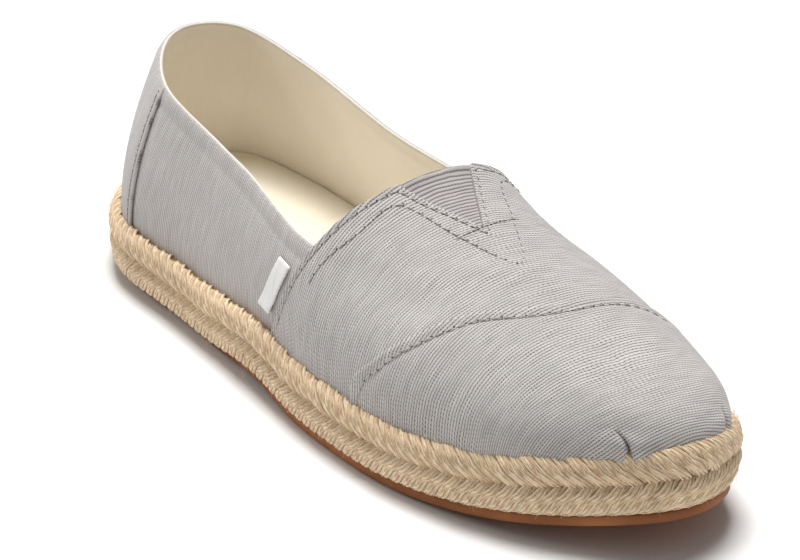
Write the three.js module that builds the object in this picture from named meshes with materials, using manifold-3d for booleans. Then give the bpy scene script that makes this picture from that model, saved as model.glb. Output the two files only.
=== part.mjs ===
// A right-foot slip-on espadrille: plaited jute sole on thin rubber, canvas upper with an open collar.
// Millimetres. X runs from heel to toe, +Z is up, -Y is the outer side of the foot, the floor is z = 0.
import * as THREE from "three";
import { mergeVertices } from "three/addons/utils/BufferGeometryUtils.js";
import Module from "manifold-3d";

const wasm = await Module();
wasm.setup();

// Sole
const soleLength = 250;
const ballWidth = 88;
const rubberThick = 3;
const juteThick = 14.6;
const archRise = 1.5;
const toeSpring = 10;
const heelSpring = 1;
const toeLipRise = 1.5;
const lipHeight = 1.2;
const lipWidth = 2.7;
const strandPitch = 4;
const strandRelief = 0.8;
const plaitGroove = 1.7;
const insoleThick = 2;

// Upper
const canvasThick = 1.3;
const panelThick = 0.8;
const toePanelThick = 1.2;
const heelCollarHeight = 62.5;
const junctionHeight = 46;
const throatHeight = 62;
const toeBoxHeight = 38.5;
const lastCrestHeight = 106;

// Trim
const tabWidth = 6;
const tabLength = 16.5;
const tabThick = 0.6;
const tabLow = 24.5;
const patchWidth = 25;
const patchHeight = 16;
const patchThick = 0.8;
const gap = 0.3;

// The sole's outline seen from above: shares of soleLength and ballWidth, heel, outer side, toe, inner side
const outlineTable = [
  { along: 0, across: 0 },
  { along: 0.036, across: -0.255 },
  { along: 0.136, across: -0.435 },
  { along: 0.288, across: -0.448 },
  { along: 0.448, across: -0.46 },
  { along: 0.608, across: -0.485 },
  { along: 0.76, across: -0.44 },
  { along: 0.9, across: -0.275 },
  { along: 1, across: 0.03 },
  { along: 0.962, across: 0.31 },
  { along: 0.832, across: 0.452 },
  { along: 0.688, across: 0.488 },
  { along: 0.52, across: 0.41 },
  { along: 0.344, across: 0.345 },
  { along: 0.168, across: 0.33 },
  { along: 0.04, across: 0.25 },
];

// The side of the jute: up is a share of juteThick, inset is in mm, slant is a share of a strand's run
const plaitTable = [
  { up: 0, inset: 1.3 * plaitGroove, slant: 0, relief: 0 },
  { up: 0.12, inset: 0.3 * plaitGroove, slant: 0.25, relief: 1 },
  { up: 0.33, inset: 0, slant: 0.7, relief: 1 },
  { up: 0.5, inset: plaitGroove, slant: 1, relief: 0.3 },
  { up: 0.67, inset: 0, slant: 0.7, relief: 1 },
  { up: 0.9, inset: 0.3 * plaitGroove, slant: 0.25, relief: 1 },
  { up: 1, inset: 0.55 * lipWidth, slant: 0, relief: 0 },
];
const strandRun = 1.8; // strands that a strand leans over between the edge and the middle groove

// The crest of the last, above the foot's centre line: along is a share of soleLength, height in mm
const crestTable = [
  { along: 0.12, height: lastCrestHeight },
  { along: 0.28, height: lastCrestHeight },
  { along: 0.4, height: lastCrestHeight * 0.925 },
  { along: 0.48, height: lastCrestHeight * 0.775 },
  { along: 0.56, height: throatHeight },
  { along: 0.64, height: throatHeight * 0.87 },
  { along: 0.74, height: toeBoxHeight * 1.25 },
  { along: 0.82, height: toeBoxHeight * 1.13 },
  { along: 0.9, height: toeBoxHeight },
];

// The collar seen from the side, then the throat's edge up to the crest
const collarTable = [
  { along: 0, height: heelCollarHeight },
  { along: 0.06, height: heelCollarHeight * 0.98 },
  { along: 0.18, height: heelCollarHeight * 0.91 },
  { along: 0.34, height: heelCollarHeight * 0.82 },
  { along: 0.46, height: junctionHeight * 1.03 },
  { along: 0.525, height: junctionHeight },
  { along: 0.541, height: junctionHeight * 1.05 },
  { along: 0.552, height: throatHeight * 0.88 },
  { along: 0.56, height: throatHeight * 0.97 },
  { along: 0.564, height: throatHeight * 1.2 },
];

// The edge of the toe panel seen from above, outer side first
const toeSeamTable = [
  { along: 0.62, across: -0.62 },
  { along: 0.655, across: -0.44 },
  { along: 0.69, across: -0.4 },
  { along: 0.722, across: -0.32 },
  { along: 0.75, across: -0.19 },
  { along: 0.778, across: -0.07 },
  { along: 0.79, across: 0.05 },
  { along: 0.792, across: 0.2 },
  { along: 0.8, across: 0.33 },
  { along: 0.83, across: 0.42 },
  { along: 0.87, across: 0.62 },
];

// The notch at the throat seen from above: outer end, tip, inner end
const notchTable = [
  { along: 0.5, across: -0.19 },
  { along: 0.65, across: 0.03 },
  { along: 0.5, across: 0.215 },
];
// How far the rubber is tucked in under the jute, in mm
const rubberEdge = { atToe: 1.6, atHeel: 4 };

// Seen from the side: the tab's rear corner and its lean, and the edges of the vamp and the heel panel
const tabPlace = { along: 0.462, lean: 0.45 };
const vampEdge = { atSole: 0.486, atJunction: 0.541 };
const heelPanelEdge = { atSole: 0.158, atCollar: 0.172 };

// Shape of the last: how its wall leans in at the heel and how it rounds over the toes
const heelShape = { lean: 2.5, rise: 1.05 };
const toeShape = { lean: 1.25, rise: 0.73 };
const spineShrink = 0.782; // the crest line is this share of the outline's length
const spineAcross = 0.035;

// Steps of the meshes
const lastColumns = 80;
const lastRows = 8;
const seamSteps = 20;
const spineStep = 4;

const clamp01 = (t) => Math.min(1, Math.max(0, t));
const ease = (t) => clamp01(t) ** 2 * (3 - 2 * clamp01(t));

// The height that a table gives at a place along the sole, by a smooth curve through its rows.
function heightAt(table, x) {
  const rows = table.map((r) => ({ x: r.along * soleLength, z: r.height }));
  if (x <= rows[0].x) return rows[0].z;
  const k = rows.findIndex((r) => r.x >= x);
  if (k < 0) return rows[rows.length - 1].z;
  const slope = (i) => {
    const a = rows[Math.max(0, i - 1)];
    const b = rows[Math.min(rows.length - 1, i + 1)];
    return (b.z - a.z) / (b.x - a.x);
  };
  const [a, b] = [rows[k - 1], rows[k]];
  const h = b.x - a.x;
  const t = (x - a.x) / h;
  return (
    (2 * t ** 3 - 3 * t ** 2 + 1) * a.z +
    (t ** 3 - 2 * t ** 2 + t) * h * slope(k - 1) +
    (3 * t ** 2 - 2 * t ** 3) * b.z +
    (t ** 3 - t ** 2) * h * slope(k)
  );
}

// The outline as a closed curve, walked by arc length: 0 is the heel, 0.5 the toe, the outer side comes first.
const outlineCurve = new THREE.CatmullRomCurve3(
  outlineTable.map((r) => new THREE.Vector3(r.along * soleLength, r.across * ballWidth, 0)),
  true,
  "catmullrom",
  0.5,
);
const walkSteps = 400;
const walks = [0, 0.5].map((start) => {
  const walk = [];
  let length = 0;
  for (let i = 0; i <= walkSteps; i++) {
    const u = start + (0.5 * i) / walkSteps;
    const at = outlineCurve.getPoint(u % 1);
    if (i) length += at.distanceTo(walk[i - 1].at);
    walk.push({ u, at, length });
  }
  return walk;
});
const perimeter = walks[0][walkSteps].length + walks[1][walkSteps].length;

function curveShare(share) {
  const wrapped = ((share % 1) + 1) % 1;
  const walk = walks[wrapped < 0.5 ? 0 : 1];
  const wanted = (wrapped % 0.5) * 2 * walk[walkSteps].length;
  const k = Math.max(1, walk.findIndex((w) => w.length >= wanted));
  const [a, b] = [walk[k - 1], walk[k]];
  return a.u + ((b.u - a.u) * (wanted - a.length)) / (b.length - a.length);
}

function edgePoint(share, inset) {
  const u = curveShare(share) % 1;
  const at = outlineCurve.getPoint(u);
  const along = outlineCurve.getTangent(u);
  return new THREE.Vector3(at.x - along.y * inset, at.y + along.x * inset, 0);
}

// How far the whole sole lifts off the floor at x: flat at the heel and the ball, sprung at toe and heel.
function lift(x) {
  const s = x / soleLength;
  const toe = toeSpring * clamp01((s - 0.68) / 0.32) ** 2;
  const heel = heelSpring * clamp01((0.12 - s) / 0.12) ** 2;
  const arch = archRise * Math.sin(Math.PI * clamp01((s - 0.34) / 0.22)) ** 2;
  return toe + heel + arch;
}
const juteBottom = rubberThick + gap;
const lipRise = (x) => toeLipRise * clamp01((x / soleLength - 0.8) / 0.2) ** 2;
const soleTop = (x) => lift(x) + juteBottom + juteThick + lipRise(x);
const featherHeight = (x) => soleTop(x) - lipHeight;

// The line inside the outline that caps and crests run to, shared by both sides of the foot.
function spinePoint(share, shrink) {
  const x = (edgePoint(share, 0).x + edgePoint(1 - share, 0).x) / 2;
  const middle = soleLength / 2;
  const cx = middle + (x - middle) * shrink;
  return new THREE.Vector3(cx, spineAcross * ballWidth * clamp01(cx / middle), 0);
}

// A closed body from rings of points, lowest first, whose two ends run in to a spine line.
function ringBody(count, rings, bottomAt, topAt, step = 1) {
  const positions = [];
  const faces = [];
  const half = count / 2;
  const push = (p) => positions.push(p.x, p.y, p.z) / 3 - 1;
  const ids = rings.map((ring) => Array.from({ length: count }, (_, i) => push(ring(i / count))));
  const spine = (at) =>
    Array.from({ length: Math.floor(half / step) + 1 }, (_, k) => push(at((k * step) / count)));
  const spineId = (line, i) => line[Math.round((i <= half ? i : count - i) / step)];
  const face = (a, b, c) => {
    if (a !== b && b !== c && c !== a) faces.push(a, b, c);
  };
  const bottom = spine(bottomAt);
  const top = spine(topAt);
  for (let i = 0; i < count; i++) {
    const j = (i + 1) % count;
    for (let r = 0; r + 1 < ids.length; r++) {
      face(ids[r][i], ids[r][j], ids[r + 1][j]);
      face(ids[r][i], ids[r + 1][j], ids[r + 1][i]);
    }
    const last = ids[ids.length - 1];
    face(last[i], last[j], spineId(top, i + 1));
    face(last[i], spineId(top, i + 1), spineId(top, i));
    face(ids[0][j], ids[0][i], spineId(bottom, i));
    face(ids[0][j], spineId(bottom, i), spineId(bottom, i + 1));
  }
  const geometry = new THREE.BufferGeometry();
  geometry.setAttribute("position", new THREE.Float32BufferAttribute(positions, 3));
  geometry.setIndex(faces);
  return geometry;
}

const raised = (p, z) => new THREE.Vector3(p.x, p.y, z);

// A flat-lying layer between two heights, with its edge that far inside the sole's outline.
function layer(inset, low, high, count = lastColumns) {
  const ring = (height) => (share) => {
    const p = edgePoint(share, typeof inset === "function" ? inset(share) : inset);
    return raised(p, height(p.x));
  };
  const spine = (height) => (share) => {
    const p = spinePoint(share, spineShrink);
    return raised(p, height(p.x));
  };
  return ringBody(count, [ring(low), ring(high)], spine(low), spine(high));
}

// A point of the last's surface, grown outwards: share goes round the foot, climb from feather line to crest.
const featherInset = lipWidth + gap + toePanelThick + gap;
function lastPoint(share, climb, grow) {
  const foot = edgePoint(share, featherInset - grow);
  const crest = spinePoint(share, spineShrink);
  const front = ease((foot.x / soleLength - 0.34) / 0.24);
  const lean = THREE.MathUtils.lerp(heelShape.lean, toeShape.lean, front);
  const rise = THREE.MathUtils.lerp(heelShape.rise, toeShape.rise, front);
  const angle = (Math.PI / 2) * climb ** 1.25;
  const inward = 1 - Math.max(0, Math.cos(angle)) ** lean;
  const up = Math.sin(angle) ** rise;
  const low = featherHeight(foot.x);
  const high = heightAt(crestTable, crest.x) + grow;
  const p = foot.lerp(crest, inward);
  return raised(p, low + (high - low) * up);
}

// The whole last grown by some millimetres, closed at the crest, with its underside dropped by some more.
function lastForm(grow, drop = 0) {
  const climbs = Array.from({ length: lastRows }, (_, r) => r / lastRows);
  const rings = climbs.map((climb) => (share) => lastPoint(share, climb, grow));
  const sunk = (share) => {
    const p = lastPoint(share, 0, grow);
    return raised(p, p.z - drop);
  };
  const bottom = (share) => {
    const p = spinePoint(share, spineShrink);
    return raised(p, featherHeight(p.x) - drop);
  };
  const body = drop ? [sunk, ...rings] : rings;
  return solid(ringBody(lastColumns, body, bottom, (share) => lastPoint(share, 1, grow)));
}

// Solids for joining and cutting
function solid(geometry) {
  const bare = geometry.clone();
  bare.deleteAttribute("normal");
  bare.deleteAttribute("uv");
  const merged = mergeVertices(bare.index ? bare.toNonIndexed() : bare, 1e-4);
  return new wasm.Manifold(
    new wasm.Mesh({
      numProp: 3,
      vertProperties: new Float32Array(merged.attributes.position.array),
      triVerts: new Uint32Array(merged.index.array),
    }),
  );
}

function geometryOf(made) {
  const mesh = made.getMesh();
  const geometry = new THREE.BufferGeometry();
  geometry.setAttribute("position", new THREE.Float32BufferAttribute(mesh.vertProperties, 3));
  geometry.setIndex([...mesh.triVerts]);
  geometry.computeVertexNormals();
  return geometry;
}

// A prism standing on an outline seen from above, points in mm.
function prismFromAbove(points) {
  const shape = new THREE.Shape(points.map(([x, y]) => new THREE.Vector2(x, y)));
  const prism = new THREE.ExtrudeGeometry(shape, { depth: 3 * lastCrestHeight, bevelEnabled: false });
  return solid(prism.translate(0, 0, -lastCrestHeight));
}

// A prism across the foot from an outline seen from the side, points in mm.
function prismAcross(points, from = -ballWidth, to = ballWidth) {
  const shape = new THREE.Shape(points.map(([x, z]) => new THREE.Vector2(x, z)));
  const prism = new THREE.ExtrudeGeometry(shape, { depth: to - from, bevelEnabled: false });
  return solid(prism.rotateX(Math.PI / 2).translate(0, to, 0));
}

const seenFromAbove = (table) => table.map((r) => [r.along * soleLength, r.across * ballWidth]);
const beyond = soleLength * 1.2;

// Everything above the collar and behind the throat, for the foot to go in.
function openingCut() {
  const line = collarTable.map((r) => [r.along * soleLength, r.height]);
  const [, heelZ] = line[0];
  const [throatX] = line[line.length - 1];
  const high = lastCrestHeight * 1.5;
  return prismAcross([[-soleLength * 0.2, heelZ], ...line, [throatX, high], [-soleLength * 0.2, high]]);
}

// The front of the shoe up to the toe panel's edge, moved forward by some millimetres.
function toeCut(forward) {
  const corners = seenFromAbove(toeSeamTable).map(([x, y]) => new THREE.Vector2(x + forward, y));
  const seam = new THREE.SplineCurve(corners).getPoints(seamSteps).map((p) => [p.x, p.y]);
  const [[, outerY]] = seam;
  const [, innerY] = seam[seam.length - 1];
  return prismFromAbove([...seam, [beyond, innerY], [beyond, outerY]].reverse());
}

// The notch in the vamp, made narrower all round by some millimetres.
function notchCut(narrow) {
  const [outer, tip, inner] = seenFromAbove(notchTable);
  const side = Math.hypot(tip[0] - outer[0], tip[1] - outer[1]);
  const steep = side / Math.abs(tip[1] - outer[1]);
  const wide = side / (tip[0] - outer[0]);
  return prismFromAbove([
    [outer[0], outer[1] + narrow * wide],
    [tip[0] - narrow * steep, tip[1]],
    [inner[0], inner[1] - narrow * wide],
  ]);
}

// A slanted line seen from the side, from the sole to the collar, and everything in front of or behind it.
function slantCut(atSole, atTop, topHeight, towards) {
  const low = juteBottom;
  const reach = (z) => atSole + ((atTop - atSole) * (z - juteThick)) / (topHeight - juteThick);
  const high = lastCrestHeight * 1.5;
  const far = towards > 0 ? beyond : -soleLength * 0.2;
  const line = [[reach(low) * soleLength, low], [reach(high) * soleLength, high]];
  const shape = [...line, [far, high], [far, low]];
  return prismAcross(towards > 0 ? shape.reverse() : shape);
}

const group = new THREE.Group();
function add(name, geometry, colour, roughness) {
  const material = new THREE.MeshStandardMaterial({ color: colour, roughness, metalness: 0 });
  const mesh = new THREE.Mesh(geometry, material);
  mesh.name = name;
  group.add(mesh);
}

const canvasGrey = 0xa39f9c;
const vampGrey = 0xb9b5b2;
const juteTan = 0xc6a981;
const rubberTan = 0x7c5534;
const insoleCream = 0xe3decb;
const labelWhite = 0xf0efec;
const patchTeal = 0x3f6a74;

// Rubber outsole: thin, tucked under the jute at the heel and nearly flush with it round the toe
const rubberInset = (share) =>
  rubberEdge.atToe + (rubberEdge.atHeel - rubberEdge.atToe) * ease((Math.abs(share - 0.5) - 0.22) / 0.12);
add("outsole", layer(rubberInset, lift, (x) => lift(x) + rubberThick), rubberTan, 0.8);

// Jute midsole: one body whose side carries two rows of slanted strands that meet in a groove
function juteMidsole() {
  const strands = Math.round(perimeter / strandPitch / 2) * 2;
  const columns = strands * 2;
  const bottomAt = (x) => lift(x) + juteBottom;
  const side = plaitTable.map((row) => (share) => {
    const column = Math.round(share * columns);
    const ridge = column % 2 ? -1 : 1;
    const moved = share + (row.slant * strandRun) / strands;
    const p = edgePoint(moved, row.inset + strandRelief * (0.5 - 0.5 * ridge * row.relief));
    return raised(p, bottomAt(p.x) + row.up * (soleTop(p.x) - bottomAt(p.x)));
  });
  const seat = (x) => featherHeight(x) - gap;
  const lip = (share) => {
    const p = edgePoint(share, lipWidth);
    return raised(p, seat(p.x));
  };
  const spine = (height) => (share) => {
    const p = spinePoint(share, spineShrink);
    return raised(p, height(p.x));
  };
  return ringBody(columns, [...side, lip], spine(bottomAt), spine(seat), spineStep);
}
add("jute_midsole", juteMidsole(), juteTan, 0.95);

// Insole: the thin cloth-covered sole that shows inside the collar
const insoleInset = featherInset + canvasThick + gap;
add("insole", layer(insoleInset, featherHeight, (x) => featherHeight(x) + insoleThick), insoleCream, 0.9);

// Canvas forms, each a little larger than the one it lies on
const opening = openingCut();
const base = lastForm(0);
const overBase = lastForm(gap, juteThick / 2);
const vampLine = [vampEdge.atSole, vampEdge.atJunction, junctionHeight];

// Upper: quarters and vamp lining as one hollow wall, open at the collar, the notch and underneath
const upper = base.subtract(lastForm(-canvasThick, juteThick / 2)).subtract(opening).subtract(notchCut(0));
add("upper", geometryOf(upper), canvasGrey, 0.95);

// Vamp: the front canvas, laid over the quarters, with the notch in its rear edge
const overlay = lastForm(gap + panelThick).subtract(overBase).subtract(opening);
const vamp = overlay.intersect(slantCut(...vampLine, 1)).subtract(toeCut(-gap)).subtract(notchCut(0));
add("vamp", geometryOf(vamp), vampGrey, 0.95);

// Toe panel: a thicker fold of canvas from its curved seam forward
const toePanel = lastForm(gap + toePanelThick).subtract(overBase).intersect(toeCut(0));
add("toe_panel", geometryOf(toePanel), vampGrey, 0.95);

// Heel panel: the strip that wraps the back of the heel
const heelPanel = overlay.intersect(
  slantCut(heelPanelEdge.atSole, heelPanelEdge.atCollar, heelCollarHeight, -1),
);
add("heel_panel", geometryOf(heelPanel), canvasGrey, 0.95);

// Throat gore: the elastic wedge that fills the notch
const gore = base.subtract(lastForm(-canvasThick, juteThick / 2)).subtract(opening).intersect(notchCut(gap));
add("throat_gore", geometryOf(gore), canvasGrey, 0.9);

// Side tab: a bare loop of white tape on the outer side, just behind the vamp's edge
function sideTab() {
  const behind = tabPlace.along * soleLength;
  const front = behind + tabWidth;
  const up = tabLength / Math.hypot(1, tabPlace.lean);
  const over = up * tabPlace.lean;
  const shape = [
    [behind, tabLow],
    [front, tabLow],
    [front + over, tabLow + up],
    [behind + over, tabLow + up],
  ];
  const band = lastForm(gap + tabThick).subtract(overBase);
  return band.intersect(prismAcross(shape, -ballWidth, 0));
}
add("side_tab", geometryOf(sideTab()), labelWhite, 0.8);

// Heel patch: a bare patch on the back of the heel panel
function heelPatch() {
  const lowest = heelCollarHeight * 0.82 - patchHeight;
  const behind = -soleLength * 0.1;
  const front = soleLength * 0.16;
  const shape = [
    [behind, lowest],
    [front, lowest],
    [front, lowest + patchHeight],
    [behind, lowest + patchHeight],
  ];
  const inner = lastForm(gap + panelThick + gap, juteThick / 2);
  const outer = lastForm(gap + panelThick + gap + patchThick);
  return outer.subtract(inner).intersect(prismAcross(shape, -patchWidth / 2, patchWidth / 2));
}
add("heel_patch", geometryOf(heelPatch()), patchTeal, 0.7);

// The origin is under the middle of the shoe
const box = new THREE.Box3().setFromObject(group);
for (const mesh of group.children)
  mesh.position.set(-(box.min.x + box.max.x) / 2, -(box.min.y + box.max.y) / 2, -box.min.z);

export default group;
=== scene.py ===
import math
import bmesh
import bpy
import numpy as np
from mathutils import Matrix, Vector


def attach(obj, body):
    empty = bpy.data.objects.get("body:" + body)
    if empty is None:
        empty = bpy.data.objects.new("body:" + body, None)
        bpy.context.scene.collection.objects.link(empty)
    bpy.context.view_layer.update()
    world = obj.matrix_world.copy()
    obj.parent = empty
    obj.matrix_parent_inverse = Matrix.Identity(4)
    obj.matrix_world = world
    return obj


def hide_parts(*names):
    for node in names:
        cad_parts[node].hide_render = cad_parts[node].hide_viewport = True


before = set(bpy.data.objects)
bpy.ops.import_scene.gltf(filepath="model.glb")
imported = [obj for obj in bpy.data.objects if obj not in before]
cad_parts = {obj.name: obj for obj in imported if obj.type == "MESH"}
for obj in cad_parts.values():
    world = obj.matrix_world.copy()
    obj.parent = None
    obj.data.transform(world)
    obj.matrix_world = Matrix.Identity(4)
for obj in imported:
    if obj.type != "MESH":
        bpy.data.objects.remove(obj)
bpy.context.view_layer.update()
mm = 0.001
full = 2 * math.pi
print("frame loaded:", len(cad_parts), "nodes")

# The last, which every surface of the shoe follows. Millimetres from the back of the heel, outer side -y
shoe = {
    "length": 250.0, "ball": 88.0, "rubber": 3.0, "jute": 14.6, "gap": 0.3,
    "arch": 1.5, "toeSpring": 10.0, "heelSpring": 1.0, "toeLip": 1.5,
    "lipHeight": 1.2, "lipWidth": 2.7, "canvas": 1.3, "toePanel": 1.2,
    "insole": 2.0, "heelCollar": 62.5, "junction": 46.0, "throat": 62.0, "toeBox": 38.5,
    "crest": 106.0, "heelLean": 2.5, "heelRise": 1.05, "toeLean": 1.25, "toeRise": 0.73,
    "spineShrink": 0.782, "spineAcross": 0.035, "strandPitch": 4.0, "strandRun": 1.8,
}
length, ball = shoe["length"], shoe["ball"]

# Shares of length and ball width: heel, outer side, toe, inner side
outline = np.array([
    (0, 0), (0.036, -0.255), (0.136, -0.435), (0.288, -0.448), (0.448, -0.46), (0.608, -0.485),
    (0.76, -0.44), (0.9, -0.275), (1, 0.03), (0.962, 0.31), (0.832, 0.452), (0.688, 0.488),
    (0.52, 0.41), (0.344, 0.345), (0.168, 0.33), (0.04, 0.25),
]) * (length, ball)
# Share of length and height
crestLine = [
    (0.12, shoe["crest"]), (0.28, shoe["crest"]), (0.4, shoe["crest"] * 0.925),
    (0.48, shoe["crest"] * 0.775), (0.56, shoe["throat"]), (0.64, shoe["throat"] * 0.87),
    (0.74, shoe["toeBox"] * 1.25), (0.82, shoe["toeBox"] * 1.13), (0.9, shoe["toeBox"]),
]
collarLine = [
    (0, shoe["heelCollar"]), (0.06, shoe["heelCollar"] * 0.98), (0.18, shoe["heelCollar"] * 0.91),
    (0.34, shoe["heelCollar"] * 0.82), (0.46, shoe["junction"] * 1.03), (0.525, shoe["junction"]),
    (0.62, shoe["junction"]),
]
# Height and share of length: the vamp's rear edge, from the sole up to the crest
vampLine = [
    (shoe["jute"], 0.486), (shoe["junction"], 0.541), (shoe["throat"] * 0.88, 0.552),
    (shoe["throat"] * 0.97, 0.56), (shoe["throat"] * 1.2, 0.564),
]
# Share of ball width and share of length, seen from above
toeSeam = [
    (-0.62, 0.62), (-0.44, 0.655), (-0.4, 0.69), (-0.32, 0.722), (-0.19, 0.75), (-0.07, 0.778),
    (0.05, 0.79), (0.2, 0.792), (0.33, 0.8), (0.42, 0.83), (0.62, 0.87),
]
# Shares of length and ball width: the notch at the throat, outer end, tip and inner end
notch = [(0.5, -0.19), (0.65, 0.03), (0.5, 0.215)]
notchSlant = 1.9  # a step across the notch's slanted sides is this much longer along x
heelEdge = [(shoe["jute"], 0.158), (shoe["heelCollar"], 0.172)]


def ease(t):
    t = np.clip(t, 0, 1)
    return t * t * (3 - 2 * t)


def bell(d, width):
    return np.exp(-((d / width) ** 2))


# A smooth curve through a table's rows, level beyond its ends
def along(x, table):
    xs, ys = (np.array(column, float) for column in zip(*table))
    slope = np.empty_like(ys)
    slope[1:-1] = (ys[2:] - ys[:-2]) / (xs[2:] - xs[:-2])
    slope[0] = (ys[1] - ys[0]) / (xs[1] - xs[0])
    slope[-1] = (ys[-1] - ys[-2]) / (xs[-1] - xs[-2])
    x = np.clip(x, xs[0], xs[-1])
    k = np.clip(np.searchsorted(xs, x), 1, len(xs) - 1)
    h = xs[k] - xs[k - 1]
    t = (x - xs[k - 1]) / h
    low = (2 * t**3 - 3 * t**2 + 1) * ys[k - 1] + (t**3 - 2 * t**2 + t) * h * slope[k - 1]
    return low + (3 * t**2 - 2 * t**3) * ys[k] + (t**3 - t**2) * h * slope[k]


def curveAt(u):
    n = len(outline)
    t = (u % 1) * n
    i = np.floor(t).astype(int) % n
    f = (t - np.floor(t))[..., None]
    a, b, c, d = (outline[(i + k) % n] for k in (-1, 0, 1, 2))
    bend, twist = 2 * a - 5 * b + 4 * c - d, 3 * b - a - 3 * c + d
    at = 0.5 * (2 * b + (c - a) * f + bend * f**2 + twist * f**3)
    run = 0.5 * ((c - a) + 2 * bend * f + 3 * twist * f**2)
    return at, run / np.linalg.norm(run, axis=-1, keepdims=True)


def walked(path):
    return np.r_[0, np.cumsum(np.linalg.norm(np.diff(path, axis=0), axis=1))]


walks = []
for start in (0, 0.5):
    steps = start + np.linspace(0, 0.5, 1601)
    walks.append((steps, walked(curveAt(steps)[0])))
perimeter = walks[0][1][-1] + walks[1][1][-1]
edgeLine = curveAt(np.linspace(0, 1, 4000))[0]
toRow = np.append(-(edgeLine.min(0) + edgeLine.max(0)) / 2, 0)


# Share 0 is the heel and 0.5 the toe, the outer side comes first. Gives the point and the way along
def edgeRun(share, inset=0.0):
    share = np.asarray(share, float) % 1
    wanted = (share % 0.5) * 2
    first = np.interp(wanted * walks[0][1][-1], walks[0][1], walks[0][0])
    second = np.interp(wanted * walks[1][1][-1], walks[1][1], walks[1][0])
    at, run = curveAt(np.where(share < 0.5, first, second))
    inwards = np.stack([-run[..., 1], run[..., 0]], -1)
    return at + inwards * np.asarray(inset, float)[..., None], run


def edge(share, inset=0.0):
    return edgeRun(share, inset)[0]


def lift(x):
    s = x / length
    toe = shoe["toeSpring"] * np.clip((s - 0.68) / 0.32, 0, 1) ** 2
    heel = shoe["heelSpring"] * np.clip((0.12 - s) / 0.12, 0, 1) ** 2
    return toe + heel + shoe["arch"] * np.sin(math.pi * np.clip((s - 0.34) / 0.22, 0, 1)) ** 2


def juteBottom(x):
    return lift(x) + shoe["rubber"] + shoe["gap"]


def juteTop(x):
    return juteBottom(x) + shoe["jute"] + shoe["toeLip"] * np.clip((x / length - 0.8) / 0.2, 0, 1) ** 2


def feather(x):
    return juteTop(x) - shoe["lipHeight"]


def spine(share):
    x = (edge(share)[..., 0] + edge(1 - np.asarray(share))[..., 0]) / 2
    cx = length / 2 + (x - length / 2) * shoe["spineShrink"]
    return np.stack([cx, shoe["spineAcross"] * ball * np.clip(cx / (length / 2), 0, 1)], -1)


featherInset = shoe["lipWidth"] + shoe["gap"] + shoe["toePanel"] + shoe["gap"]


# Climb 0 is the feather line and 1 the crest; grow moves the surface outwards
def lastPoint(share, climb, grow=0.0):
    share, climb, grow = np.broadcast_arrays(*(np.asarray(a, float) for a in (share, climb, grow)))
    foot = edge(share, featherInset - grow)
    crest = spine(share)
    front = ease((foot[..., 0] / length - 0.34) / 0.24)
    lean = shoe["heelLean"] + (shoe["toeLean"] - shoe["heelLean"]) * front
    rise = shoe["heelRise"] + (shoe["toeRise"] - shoe["heelRise"]) * front
    angle = math.pi / 2 * np.clip(climb, 0, 1) ** 1.25
    inward = 1 - np.clip(np.cos(angle), 0, 1) ** lean
    low = feather(foot[..., 0])
    high = along(crest[..., 0] / length, crestLine) + grow
    z = low + (high - low) * np.sin(angle) ** rise
    return np.concatenate([foot + (crest - foot) * inward[..., None], z[..., None]], -1)


# Half runs from 0 at the heel to 0.5 at the toe; w is -1 at the outer sole, 0 on the crest, 1 inside
def strip(half, w, grow=0.0):
    half, w, grow = np.broadcast_arrays(*(np.asarray(a, float) for a in (half, w, grow)))
    return lastPoint(np.where(w <= 0, half, 1 - half), 1 - np.abs(w), grow)


# Where a function that rises from low to high crosses zero, for every item of an array
def crossing(rising, low, high, steps=30):
    for _ in range(steps):
        mid = (low + high) / 2
        below = rising(mid) < 0
        low, high = np.where(below, mid, low), np.where(below, high, mid)
    return (low + high) / 2


def collarClimb(share):
    def over(climb):
        p = lastPoint(share, climb)
        return p[..., 2] - along(p[..., 0] / length, collarLine)
    return crossing(over, np.zeros_like(share), np.ones_like(share))


def wallAt(share, height, grow=0.0):
    share, height = np.broadcast_arrays(np.asarray(share, float), np.asarray(height, float))
    climb = crossing(lambda c: lastPoint(share, c, grow)[..., 2] - height, share * 0, share * 0 + 1)
    return lastPoint(share, climb, grow)


# The share round the foot of the wall's place seen from the side at x and z
def sideShare(x, z, inner=False):
    x, z = np.broadcast_arrays(np.asarray(x, float), np.asarray(z, float))
    turned = (lambda s: 1 - s) if inner else (lambda s: s)
    return turned(crossing(lambda s: wallAt(turned(s), z)[..., 0] - x, x * 0 + 0.01, x * 0 + 0.49, 22))


def topAt(x, y, grow=0.0):
    x, y = np.broadcast_arrays(np.asarray(x, float), np.asarray(y, float))

    def halfAt(w):
        return crossing(lambda h: strip(h, w)[..., 0] - x, x * 0 + 0.1, x * 0 + 0.4999, 22)
    w = crossing(lambda w: strip(halfAt(w), w)[..., 1] - y, x * 0 - 1, x * 0 + 1, 22)
    return strip(halfAt(w), w, grow)


# Where the vamp starts on each strip, moved ahead by some millimetres
def rearEdge(w, ahead=0.0, notched=True):
    def over(half):
        p = strip(half, w)
        start = along(p[..., 2], vampLine) * length + ahead
        if notched:
            (ax, ay), (tx, ty), (_, by) = notch
            y = p[..., 1] / ball
            share = np.where(y < ty, (y - ay) / (ty - ay), (by - y) / (by - ty))
            start = np.maximum(start, (ax + (tx - ax) * share) * length + ahead * notchSlant)
        return p[..., 0] - start
    return crossing(over, w * 0 + 0.15, w * 0 + 0.49)


def toeEdge(w, ahead=0.0):
    def over(half):
        p = strip(half, w)
        return p[..., 0] - along(p[..., 1] / ball, toeSeam) * length - ahead
    return crossing(over, w * 0 + 0.2, w * 0 + 0.4995)


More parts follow.
